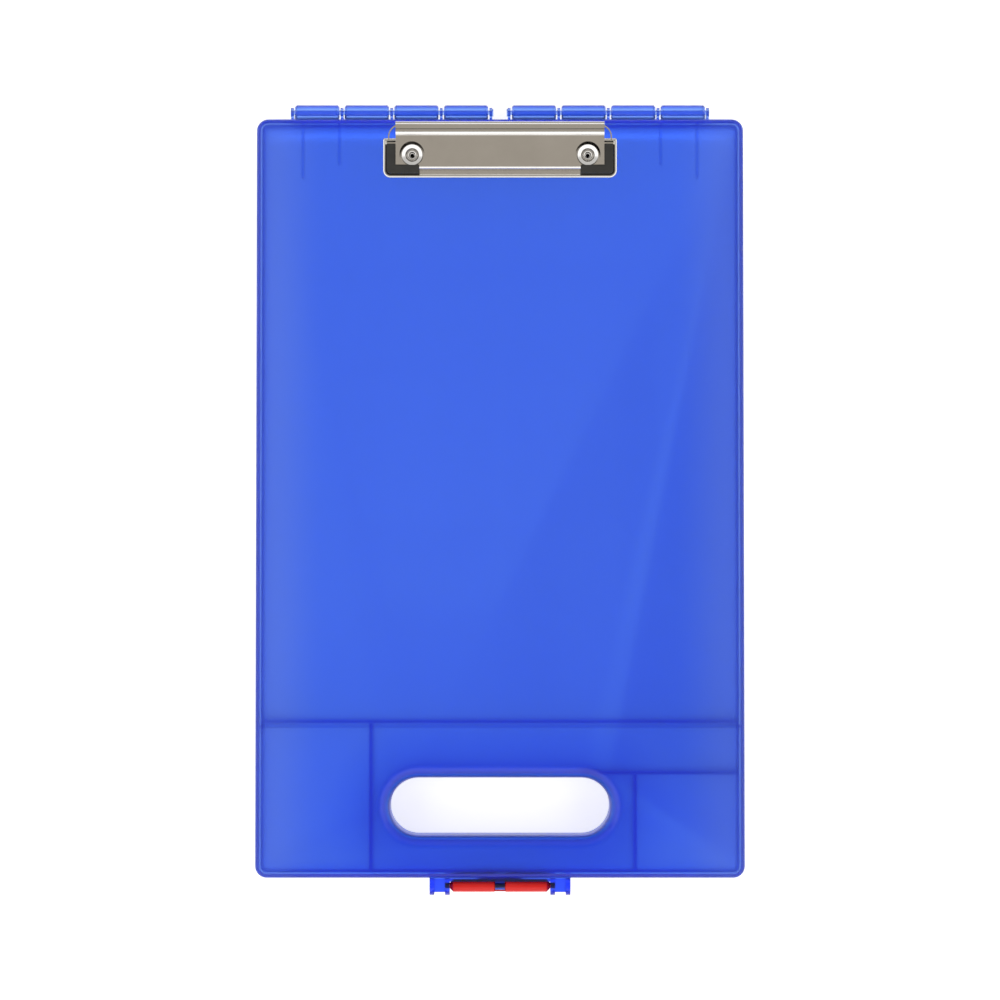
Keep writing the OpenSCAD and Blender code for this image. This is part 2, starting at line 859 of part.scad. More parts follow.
module clip_pin() {
    color("gainsboro")
        along_x(plate_w + 4 * running_fit, pivot_y, pivot_z)
            circle(pin_r);
}

// Helix along X with a straight leg that reaches down to the clip's base, as one swept wire.
function helix_point(i) = let (a = 180 - 360 * i / wire_steps)
    [i / wire_steps * spring_pitch - spring_l / 2, spring_mean_r * cos(a), spring_mean_r * sin(a)];
function ring(p, ahead) = let (
        d = ahead / norm(ahead),
        u = cross(d, [1, 0, 0]) / norm(cross(d, [1, 0, 0])),
        v = cross(d, u))
    [for (k = [0 : wire_sides - 1])
        p + wire_r * (cos(360 * k / wire_sides) * u + sin(360 * k / wire_sides) * v)];

module clip_spring() {
    steps = round((spring_turns + 0.5) * wire_steps);
    leg_l = pivot_z - base_top - jaw_gap;
    path = concat([helix_point(0) - [0, 0, leg_l]],
        [for (i = [0 : steps]) helix_point(i)]);
    last = len(path) - 1;
    rings = [for (i = [0 : last])
        ring(path[i], path[min(i + 1, last)] - path[max(i - 1, 0)])];
    points = [for (r = rings, p = r) p];
    sides = [for (i = [0 : last - 1], k = [0 : wire_sides - 1])
        let (n = (k + 1) % wire_sides)
        [i * wire_sides + k, i * wire_sides + n, (i + 1) * wire_sides + n, (i + 1) * wire_sides + k]];
    caps = [[for (k = [wire_sides - 1 : -1 : 0]) k],
        [for (k = [0 : wire_sides - 1]) last * wire_sides + k]];
    translate([spring_x, pivot_y, pivot_z])
        polyhedron(points, concat(sides, caps));
}

module clip_spring_right() {
    color("gray")
        clip_spring();
}

module clip_spring_left() {
    color("gray")
        mirror([1, 0, 0])
            clip_spring();
}

// Rubber corner seated in the gutter between the plate and the jaw's rim.
module grip() {
    grip_top = plate_top - 0.5;
    low_y = jaw_front_y + 2 * hem_r;
    translate([0, 0, rim_top])
        linear_extrude(grip_top - rim_top)
            intersection() {
                foot_outline(2 * hem_r);
                union() {
                    translate([grip_from_x, low_y])
                        square([grip_front_l, plate_front_y + grip_inset - low_y]);
                    translate([plate_w / 2, low_y])
                        square([jaw_w, grip_side_l]);
                }
            }
}

module grip_right() {
    color("dimgray")
        grip();
}

module grip_left() {
    color("dimgray")
        mirror([1, 0, 0])
            grip();
}

module clip_rivets() {
    color("whitesmoke")
        for (x = [-1, 1])
            translate([x * rivet_span / 2, rivet_y, 0])
                difference() {
                    union() {
                        translate([0, 0, board_z - rivet_head_t])
                            cylinder(r = rivet_head_r, h = rivet_head_t);
                        translate([0, 0, board_z - overlap])
                            cylinder(r = rivet_r, h = base_top - board_z + 2 * overlap);
                        translate([0, 0, base_top])
                            cylinder(r = rivet_head_r, h = rivet_head_t);
                    }
                    translate([0, 0, board_z - rivet_head_t - 1])
                        cylinder(r = rivet_bore_r, h = base_top - board_z + rivet_head_t + 1 - dimple_d);
                    translate([0, 0, base_top + rivet_head_t - dimple_d])
                        cylinder(r1 = rivet_bore_r, r2 = dimple_r, h = dimple_d + eps);
                }
}

tray();
lid();
hinge_rod_left();
hinge_rod_right();
latch();
clip_base();
clip_jaw();
clip_pin();
clip_spring_left();
clip_spring_right();
grip_left();
grip_right();
clip_rivets();
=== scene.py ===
"""Looks of a storage clipboard box: a frosted blue case with a hinged lid, a sprung paper clip and a red latch."""

import logging
import math
from dataclasses import dataclass
from enum import Enum
from typing import Any

import bmesh
import bpy
from mathutils import Matrix, Vector


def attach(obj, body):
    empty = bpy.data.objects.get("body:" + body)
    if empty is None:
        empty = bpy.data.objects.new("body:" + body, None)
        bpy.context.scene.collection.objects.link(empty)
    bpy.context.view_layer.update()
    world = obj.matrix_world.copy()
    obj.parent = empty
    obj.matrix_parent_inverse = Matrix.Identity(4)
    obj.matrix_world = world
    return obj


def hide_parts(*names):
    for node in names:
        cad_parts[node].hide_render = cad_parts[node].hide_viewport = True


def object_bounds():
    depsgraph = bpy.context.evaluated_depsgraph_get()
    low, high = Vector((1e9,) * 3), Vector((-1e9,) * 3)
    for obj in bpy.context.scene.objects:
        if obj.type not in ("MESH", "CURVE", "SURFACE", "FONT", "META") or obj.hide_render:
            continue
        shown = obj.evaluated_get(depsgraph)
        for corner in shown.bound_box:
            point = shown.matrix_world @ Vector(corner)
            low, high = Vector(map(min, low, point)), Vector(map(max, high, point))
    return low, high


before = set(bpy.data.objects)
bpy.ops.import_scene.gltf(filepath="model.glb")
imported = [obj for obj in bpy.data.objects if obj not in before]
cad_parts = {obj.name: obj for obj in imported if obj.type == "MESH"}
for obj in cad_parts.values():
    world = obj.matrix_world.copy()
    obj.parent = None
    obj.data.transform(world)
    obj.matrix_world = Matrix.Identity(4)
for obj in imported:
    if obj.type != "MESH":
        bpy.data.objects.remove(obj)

MM = 0.001
CAD_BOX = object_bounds()
# Vertices closer than this are one
MERGE_M = 0.002 * MM
# A noise texture's values lie mostly between these
NOISE_LOW, NOISE_HIGH = 0.3, 0.7
LOG = logging.getLogger("clipboard_box")


class Body(Enum):
    """The moving bodies that pieces ride on."""

    CASE = "case"
    LID = "lid"
    JAW = "jaw"
    LATCH = "latch"


class Slot(Enum):
    """The record's material slots."""

    CASE = "case_plastic"
    ROD = "rod_plastic"
    LATCH = "latch_plastic"
    CLIP = "clip_steel"
    SPRING = "spring_steel"
    GRIP = "grip_rubber"
    RIVET = "rivet_steel"


def linear(colour: str) -> tuple[float, float, float, float]:
    """Turns an sRGB hex colour to linear.

    Args:
        colour: six hex digits.

    Returns:
        Linear red, green, blue and an alpha of 1.
    """
    parts = [int(colour[i : i + 2], 16) / 255 for i in (0, 2, 4)]
    red, green, blue = (c / 12.92 if c <= 0.04045 else ((c + 0.055) / 1.055) ** 2.4 for c in parts)
    return red, green, blue, 1.0


def add_node(
    tree: bpy.types.NodeTree,
    kind: str,
    inputs: dict[Any, Any] | None = None,
    links: dict[Any, bpy.types.NodeSocket] | None = None,
    **settings: Any,
) -> bpy.types.Node:
    """Adds a node with its settings, input values and links.

    Args:
        tree: the node tree that gets the node.
        kind: the node's type name.
        inputs: values by input name or number.
        links: output sockets by the input they feed.
        settings: attributes of the node.

    Returns:
        The new node.
    """
    node = tree.nodes.new(kind)
    for key, value in settings.items():
        setattr(node, key, value)
    for key, value in (inputs or {}).items():
        node.inputs[key].default_value = value
    for key, socket in (links or {}).items():
        tree.links.new(socket, node.inputs[key])
    return node


def set_stops(ramp: bpy.types.Node, stops: list[tuple[float, tuple[float, ...]]]) -> None:
    """Sets a colour ramp's stops.

    Args:
        ramp: the ramp's node.
        stops: each stop's place, in rising order, and its linear colour.
    """
    elements = ramp.color_ramp.elements
    elements.remove(elements[-1])
    for index, (place, colour) in enumerate(stops):
        stop = elements.new(place) if index else elements[0]
        stop.position = place
        stop.color = (*colour[:3], 1.0)


def per_metre(size_mm: float) -> float:
    """Gives a texture's scale, in features a metre, for a feature size in millimetres."""
    return 1 / (size_mm * MM)


@dataclass(frozen=True)
class Finish:
    """A surface finish that builds one procedural material."""

    name: str

    def material(self) -> bpy.types.Material:
        """Returns the finish's material, built once."""
        found = bpy.data.materials.get(self.name)
        if found:
            return found
        made = bpy.data.materials.new(self.name)
        made.use_nodes = True
        made.node_tree.nodes.clear()
        shader = self.shade(made.node_tree)
        add_node(made.node_tree, "ShaderNodeOutputMaterial", links={"Surface": shader})
        return made

    def shade(self, tree: bpy.types.NodeTree) -> bpy.types.NodeSocket:
        """Builds the finish's nodes.

        Args:
            tree: the material's node tree.

        Returns:
            The shader's output socket.
        """
        raise NotImplementedError


@dataclass(frozen=True)
class FrostedPolypropylene(Finish):
    """Injection-moulded clear polypropylene, dyed blue and spark-eroded to a frost.

    Most of the colour shows in the frosted skin and the rest in the depth, so a rib seen end-on is only a little
    deeper than a wall. The frost is coarser along both sides, where the colour is also painted paler as painted light
    that enters through the side walls. Round the handle hole, where the rolled edges lie close together, the colour is
    painted deeper as painted shade. The ears beyond the latch side are painted deeper as painted shade, and the
    knuckles paler as painted light.
    """

    # Tint at the surface by distance from the line through the handle hole, as (millimetres, colour): painted shade
    # that deepens the colour round the hole
    hole_shade_tints: tuple[tuple[float, str], ...] = (
        (15.0, "aecdfb"),
        (24.0, "b6d2fb"),
        (36.0, "d0e4ff"),
        (50.0, "e9f1ff"),
        (120.0, "f6f9ff"),
    )
    roughness: float = 0.3
    # Roughness of the coarser frost along both sides, and where those sides begin and end; the sides are also painted
    # paler as painted light
    side_roughness: float = 0.42
    side_from_mm: float = 90.0
    side_to_mm: float = 121.0
    # Tint of the middle; of the bands along both sides, painted paler as painted light that enters through the side
    # walls;
    # of the ears beyond the latch side, painted deeper as painted shade; and of the knuckles, painted paler as painted
    # light
    middle: str = "cde3fc"
    side: str = "f2f2f9"
    painted_ear_shade: str = "365cf4"
    painted_knuckle_light: str = "bdd1ff"
    # Where the ears begin on the latch side and on the hinge side
    ears_mm: tuple[float, float] = (-197.6, 197.6)
    # What the frosted skin of a wall lets through, by colour, and what a millimetre of depth does
    skin: tuple[float, float, float] = (0.452, 0.603, 0.972)
    dye: tuple[float, float, float] = (0.87, 0.925, 0.995)
    density: float = 900.0
    grain_mm: float = 1.2
    cloud_mm: float = 90.0
    # Share by which the frost drifts from cloud to cloud
    drift: float = 0.02
    # Half the length and the Y of the line through the handle hole, round which the colour is painted deeper as
    # painted shade
    deep_half_mm: float = 42.3
    deep_y_mm: float = -165.5
    # Ejector marks beside the handle hole, as (distance from the middle, y)
    marks_mm: tuple[tuple[float, float], ...] = ((0.0, -141.5), (0.0, -183.2), (62.0, -160.8))
    mark_radius_mm: float = 2.5
    mark_rim_mm: float = 0.25
    mark_height: float = 1.5

    def skinned(self, colour: str) -> tuple[float, ...]:
        """Gives a tint's linear colour with the skin's share of the dye."""
        return tuple(tint * share for tint, share in zip(linear(colour), (*self.skin, 1.0)))

    def absorbed(self) -> tuple[float, float, float, float]:
        """Gives the absorption colour that leaves the dye's share after a millimetre."""
        taken = [-math.log(share) / (self.density * MM) for share in self.dye]
        return 1 - taken[0], 1 - taken[1], 1 - taken[2], 1.0

    def material(self) -> bpy.types.Material:
        """Returns the plastic's material with its depth of dye, built once."""
        known = self.name in bpy.data.materials
        made = super().material()
        if not known:
            tree = made.node_tree
            depth = add_node(
                tree,
                "ShaderNodeVolumeAbsorption",
                {"Color": self.absorbed(), "Density": self.density},
            )
            output = next(n for n in tree.nodes if n.bl_idname == "ShaderNodeOutputMaterial")
            tree.links.new(depth.outputs[0], output.inputs["Volume"])
        return made

    def tint(
        self, tree: bpy.types.NodeTree, across: bpy.types.NodeSocket, along: bpy.types.NodeSocket
    ) -> bpy.types.NodeSocket:
        """Paints the colour deeper towards the handle hole and on the ears as painted shade, and paler along both
        sides and on the knuckles as painted light.

        Args:
            tree: the material's node tree.
            across: distance from the middle, in metres.
            along: Y, in metres.

        Returns:
            The colour's socket.
        """
        # Painted shade: the colour is deepened by distance from the line through the handle hole
        beyond = add_node(tree, "ShaderNodeMath", {1: self.deep_half_mm * MM}, {0: across}, operation="SUBTRACT")
        side = add_node(tree, "ShaderNodeMath", {1: 0.0}, {0: beyond.outputs[0]}, operation="MAXIMUM")
        over = add_node(tree, "ShaderNodeMath", {1: self.deep_y_mm * MM}, {0: along}, operation="SUBTRACT")
        offset = add_node(tree, "ShaderNodeCombineXYZ", links={0: side.outputs[0], 1: over.outputs[0]})
        far = add_node(tree, "ShaderNodeVectorMath", links={0: offset.outputs[0]}, operation="LENGTH")
        reach = self.hole_shade_tints[-1][0]
        share = add_node(tree, "ShaderNodeMath", {1: reach * MM}, {0: far.outputs["Value"]}, operation="DIVIDE")
        ramp = add_node(tree, "ShaderNodeValToRGB", links={0: share.outputs[0]})
        set_stops(ramp, [(distance / reach, linear(colour)) for distance, colour in self.hole_shade_tints])
        # Painted light: the bands along both sides are painted paler than the middle
        edge = add_node(
            tree,
            "ShaderNodeMapRange",
            {1: self.side_from_mm * MM, 2: self.side_to_mm * MM},
            {0: across},
            interpolation_type="SMOOTHSTEP",
        )
        painted_side_light_band = add_node(
            tree,
            "ShaderNodeMix",
            {6: self.skinned(self.middle), 7: self.skinned(self.side)},
            {0: edge.outputs[0]},
            data_type="RGBA",
        )
        # Painted shade on the ears beyond the latch side and painted light on the knuckles, past both ends of the case
        low, high = self.ears_mm
        inside = add_node(
            tree,
            "ShaderNodeMath",
            {1: (low + high) / 2 * MM, 2: (high - low) / 2 * MM},
            {0: along},
            operation="COMPARE",
        )
        upper = add_node(tree, "ShaderNodeMath", {1: 0.0}, {0: along}, operation="GREATER_THAN")
        painted_ear_and_knuckle_tone = add_node(
            tree,
            "ShaderNodeMix",
            {6: linear(self.painted_ear_shade), 7: linear(self.painted_knuckle_light)},
            {0: upper.outputs[0]},
            data_type="RGBA",
        )
        solid = add_node(
            tree,
            "ShaderNodeMix",
            links={0: inside.outputs[0], 6: painted_ear_and_knuckle_tone.outputs[2], 7: painted_side_light_band.outputs[2]},
            data_type="RGBA",
        )
        return add_node(
            tree,
            "ShaderNodeMix",
            {0: 1.0},
            {6: ramp.outputs[0], 7: solid.outputs[2]},
            data_type="RGBA",
            blend_type="MULTIPLY",
        ).outputs[2]

    def relief(
        self,
        tree: bpy.types.NodeTree,
        place: bpy.types.NodeSocket,
        across: bpy.types.NodeSocket,
        along: bpy.types.NodeSocket,
    ) -> bpy.types.NodeSocket:
        """Raises the spark-eroded grain and the rims of the ejector marks.

        Args:
            tree: the material's node tree.
            place: the object's coordinates.
            across: distance from the middle, in metres.
            along: Y, in metres.

        Returns:
            The normal's socket.
        """
        height = add_node(
            tree,
            "ShaderNodeTexNoise",
            {"Scale": per_metre(self.grain_mm), "Detail": 2.0},
            {"Vector": place},
        ).outputs[0]
        flat = add_node(tree, "ShaderNodeCombineXYZ", links={0: across, 1: along})
        for distance, y in self.marks_mm:
            gap = add_node(
                tree,
                "ShaderNodeVectorMath",
                {1: (distance * MM, y * MM, 0.0)},
                {0: flat.outputs[0]},
                operation="DISTANCE",
            )
            rim = add_node(
                tree,
                "ShaderNodeMath",
                {1: self.mark_radius_mm * MM, 2: self.mark_rim_mm * MM},
                {0: gap.outputs["Value"]},
                operation="COMPARE",
            )
            height = add_node(
                tree,
                "ShaderNodeMath",
                {1: self.mark_height},
                {0: rim.outputs[0], 2: height},
                operation="MULTIPLY_ADD",
            ).outputs[0]
        return add_node(
            tree,
            "ShaderNodeBump",
            {"Strength": 0.2, "Distance": 0.1 * MM},
            {"Height": height},
        ).outputs[0]

    def shade(self, tree: bpy.types.NodeTree) -> bpy.types.NodeSocket:
        """Builds the plastic's nodes and returns the shader's socket."""
        place = add_node(tree, "ShaderNodeTexCoord").outputs["Object"]
        parts = add_node(tree, "ShaderNodeSeparateXYZ", links={0: place})
        across = add_node(tree, "ShaderNodeMath", links={0: parts.outputs["X"]}, operation="ABSOLUTE").outputs[0]
        along = parts.outputs["Y"]
        clouds = add_node(
            tree,
            "ShaderNodeTexNoise",
            {"Scale": per_metre(self.cloud_mm), "Detail": 3.0, "Roughness": 0.55},
            {"Vector": place},
        )
        frost = add_node(
            tree,
            "ShaderNodeMapRange",
            {1: self.side_from_mm * MM, 2: self.side_to_mm * MM, 3: self.roughness, 4: self.side_roughness},
            {0: across},
            interpolation_type="SMOOTHSTEP",
        )
        drift = add_node(
            tree,
            "ShaderNodeMapRange",
            {1: NOISE_LOW, 2: NOISE_HIGH, 3: 1 - self.drift, 4: 1 + self.drift},
            {0: clouds.outputs[0]},
        )
        rough = add_node(
            tree,
            "ShaderNodeMath",
            links={0: frost.outputs[0], 1: drift.outputs[0]},
            operation="MULTIPLY",
        )
        return add_node(
            tree,
            "ShaderNodeBsdfPrincipled",
            {"IOR": 1.49, "Specular IOR Level": 0.3, "Transmission Weight": 1.0},
            {
                "Base Color": self.tint(tree, across, along),
                "Roughness": rough.outputs[0],
                "Normal": self.relief(tree, place, across, along),
            },
        ).outputs[0]


@dataclass(frozen=True)
class MouldedPolypropylene(Finish):
    """Injection-moulded opaque polypropylene with a satin sheen and a faint drift in its red."""

    colour: str = "d0120f"
    paler: str = "de2520"
    roughness: float = 0.36
    grain_mm: float = 0.8
    flow_mm: float = 22.0
    # Roughness where the flow lines are glossiest and dullest, as shares
    sheens: tuple[float, float] = (0.85, 1.2)

    def shade(self, tree: bpy.types.NodeTree) -> bpy.types.NodeSocket:
        """Builds the plastic's nodes and returns the shader's socket."""
        place = add_node(tree, "ShaderNodeTexCoord").outputs["Object"]
        flow = add_node(
            tree,
            "ShaderNodeTexNoise",
            {"Scale": per_metre(self.flow_mm), "Detail": 3.0, "Distortion": 1.5},
            {"Vector": place},
        )
        colour = add_node(
            tree,
            "ShaderNodeMix",
            {6: linear(self.colour), 7: linear(self.paler)},
            {0: flow.outputs[0]},
            data_type="RGBA",
        )
        grain = add_node(
            tree,
            "ShaderNodeTexNoise",
            {"Scale": per_metre(self.grain_mm), "Detail": 2.0},
            {"Vector": place},
        )
        glossy, dull = self.sheens
        sheen = add_node(
            tree,
            "ShaderNodeMapRange",
            {1: NOISE_LOW, 2: NOISE_HIGH, 3: self.roughness * glossy, 4: self.roughness * dull},
            {0: flow.outputs[0]},
        )
        bump = add_node(
            tree,
            "ShaderNodeBump",
            {"Strength": 0.15, "Distance": 0.1 * MM},
            {"Height": grain.outputs[0]},
        )
        return add_node(
            tree,
            "ShaderNodeBsdfPrincipled",
            {"IOR": 1.49, "Specular IOR Level": 0.35, "Subsurface Weight": 0.1, "Subsurface Scale": 2 * MM},
            {"Base Color": colour.outputs[2], "Roughness": sheen.outputs[0], "Normal": bump.outputs[0]},
        ).outputs[0]


@dataclass(frozen=True)
class PlatedSteel(Finish):
    """Bright nickel plate on pressed strip steel: near-mirror, with faint drawing lines and handling smears."""

    colour: str = "e4e2df"
    dulled: str = "d8d5d0"
    roughness: float = 0.1
    line_mm: float = 0.6
    # Share of its length that a drawing line keeps across X, which stretches it
    line_squeeze: float = 0.05
    smear_mm: float = 14.0
    # Roughness of clean and of smeared plate, as shares
    smeared: tuple[float, float] = (0.8, 1.5)

    def shade(self, tree: bpy.types.NodeTree) -> bpy.types.NodeSocket:
        """Builds the plate's nodes and returns the shader's socket."""
        place = add_node(tree, "ShaderNodeTexCoord").outputs["Object"]
        stretched = add_node(tree, "ShaderNodeMapping", {"Scale": (self.line_squeeze, 1.0, 1.0)}, {"Vector": place})
        lines = add_node(
            tree,
            "ShaderNodeTexNoise",
            {"Scale": per_metre(self.line_mm), "Detail": 3.0},
            {"Vector": stretched.outputs[0]},
        )
        smears = add_node(
            tree,
            "ShaderNodeTexNoise",
            {"Scale": per_metre(self.smear_mm), "Detail": 4.0},
            {"Vector": place},
        )
        clean, dull = self.smeared
        rough = add_node(
            tree,
            "ShaderNodeMapRange",
            {1: NOISE_LOW, 2: NOISE_HIGH, 3: self.roughness * clean, 4: self.roughness * dull},
            {0: smears.outputs[0]},
        )
        colour = add_node(
            tree,
            "ShaderNodeMix",
            {6: linear(self.colour), 7: linear(self.dulled)},
            {0: smears.outputs[0]},
            data_type="RGBA",
        )
        bump = add_node(
            tree,
            "ShaderNodeBump",
            {"Strength": 0.05, "Distance": 0.05 * MM},
            {"Height": lines.outputs[0]},
        )
        return add_node(
            tree,
            "ShaderNodeBsdfPrincipled",
            {"Metallic": 1.0},
            {"Base Color": colour.outputs[2], "Roughness": rough.outputs[0], "Normal": bump.outputs[0]},
        ).outputs[0]


@dataclass(frozen=True)
class MouldedRubber(Finish):
    """Matt black nitrile rubber with a faint bloom."""

    colour: str = "1e1d1b"
    bloom: str = "32312d"
    roughness: float = 0.62
    grain_mm: float = 0.7
    cloud_mm: float = 6.0

    def shade(self, tree: bpy.types.NodeTree) -> bpy.types.NodeSocket:
        """Builds the rubber's nodes and returns the shader's socket."""
        place = add_node(tree, "ShaderNodeTexCoord").outputs["Object"]
        cloud = add_node(
            tree,
            "ShaderNodeTexNoise",
            {"Scale": per_metre(self.cloud_mm), "Detail": 4.0},
            {"Vector": place},
        )
        grain = add_node(
            tree,
            "ShaderNodeTexNoise",
            {"Scale": per_metre(self.grain_mm), "Detail": 2.0},
            {"Vector": place},
        )
        colour = add_node(
            tree,
            "ShaderNodeMix",
            {6: linear(self.colour), 7: linear(self.bloom)},
            {0: cloud.outputs[0]},
            data_type="RGBA",
        )
        bump = add_node(
            tree,
            "ShaderNodeBump",
            {"Strength": 0.3, "Distance": 0.1 * MM},
            {"Height": grain.outputs[0]},
        )
        return add_node(
            tree,
            "ShaderNodeBsdfPrincipled",
            {"Roughness": self.roughness},
            {"Base Color": colour.outputs[2], "Normal": bump.outputs[0]},
        ).outputs[0]


# Both shells and the hinge rods are moulded from one batch
CASE_PLASTIC = FrostedPolypropylene("frosted_blue_polypropylene")
LATCH_PLASTIC = MouldedPolypropylene("red_polypropylene")
CLIP_STEEL = PlatedSteel("nickel_plated_steel")
# Spring wire is drawn, not pressed, so it is duller and darker than the plate
SPRING_STEEL = PlatedSteel("drawn_spring_steel", colour="b9b2a8", dulled="9f998f", roughness=0.22)
GRIP_RUBBER = MouldedRubber("black_nitrile_rubber")


def dress(node: str, finish: Finish) -> None:
    """Gives a CAD node its finish.

    Args:
        node: the node's name.
        finish: the finish of its whole surface.
    """
    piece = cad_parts[node]
    piece.data.materials.clear()
    piece.data.materials.append(finish.material())
    LOG.info("dressed %s in %s", node, finish.name)


def merged(node: str) -> bmesh.types.BMesh:
    """Copies a CAD node's shape with its triangles joined up and its flat faces whole.

    Args:
        node: the node's name.

    Returns:
        The copy, which the caller turns into a piece.
    """
    shape = bmesh.new()
    shape.from_mesh(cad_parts[node].data)
    bmesh.ops.remove_doubles(shape, verts=shape.verts, dist=MERGE_M)
    bmesh.ops.dissolve_limit(shape, angle_limit=math.radians(1), verts=shape.verts, edges=shape.edges)
    return shape


def soften(shape: bmesh.types.BMesh, width_mm: float, over_deg: float = 40, segments: int = 2) -> None:
    """Rounds a shape's sharp edges.

    Args:
        shape: the shape.
        width_mm: width of the rounding on each face.
        over_deg: angle between two faces past which their edge is sharp.
        segments: faces across the rounding.
    """
    sharp = [edge for edge in shape.edges if edge.calc_face_angle(0) > math.radians(over_deg)]
    bmesh.ops.bevel(
        shape,
        geom=sharp,
        offset=width_mm * MM,
        segments=segments,
        profile=0.5,
        affect="EDGES",
        clamp_overlap=True,
        material=-1,
    )


def add_piece(
    shape: bmesh.types.BMesh,
    name: str,
    body: Body,
    finish: Finish,
    nodes: tuple[str, ...] = (),
    smooth_deg: float = 38,
) -> bpy.types.Object:
    """Turns a shape into a finished piece on its body.

    Args:
        shape: the shape, in metres in the shared frame, which is freed.
        name: the piece's name.
        body: the body that it moves with.
        finish: the finish of its whole surface.
        nodes: the CAD nodes that it stands for.
        smooth_deg: angle past which an edge stays crisp.

    Returns:
        The new object.
    """
    mesh = bpy.data.meshes.new(name)
    shape.to_mesh(mesh)
    shape.free()
    kept = mesh.attributes.get("custom_normal")
    if kept:
        mesh.attributes.remove(kept)
    mesh.shade_smooth()
    mesh.set_sharp_from_angle(angle=math.radians(smooth_deg))
    mesh.materials.append(finish.material())
    piece = bpy.data.objects.new(name, mesh)
    bpy.context.scene.collection.objects.link(piece)
    level = piece.modifiers.new("flat_faces_stay_flat", "WEIGHTED_NORMAL")
    level.keep_sharp = True
    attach(piece, body.value)
    if nodes:
        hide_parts(*nodes)
    LOG.info("built %s on %s, %d faces", name, body.value, len(mesh.polygons))
    return piece


@dataclass
class Case:
    """Tray, lid and the two hinge rods, all in the frosted blue plastic."""

    def build(self) -> None:
        """Dresses the case's nodes."""
        for node in ("lid", "tray", "hinge_rod_left", "hinge_rod_right"):
            dress(node, CASE_PLASTIC)


@dataclass
class Latch:
    """The red snap latch on its axle."""

    edge_mm: float = 0.45

    def build(self) -> None:
        """Builds the latch with its moulded edges rounded."""
        shape = merged("latch")
        soften(shape, self.edge_mm)
        add_piece(shape, "snap_latch", Body.LATCH, LATCH_PLASTIC, ("latch",))


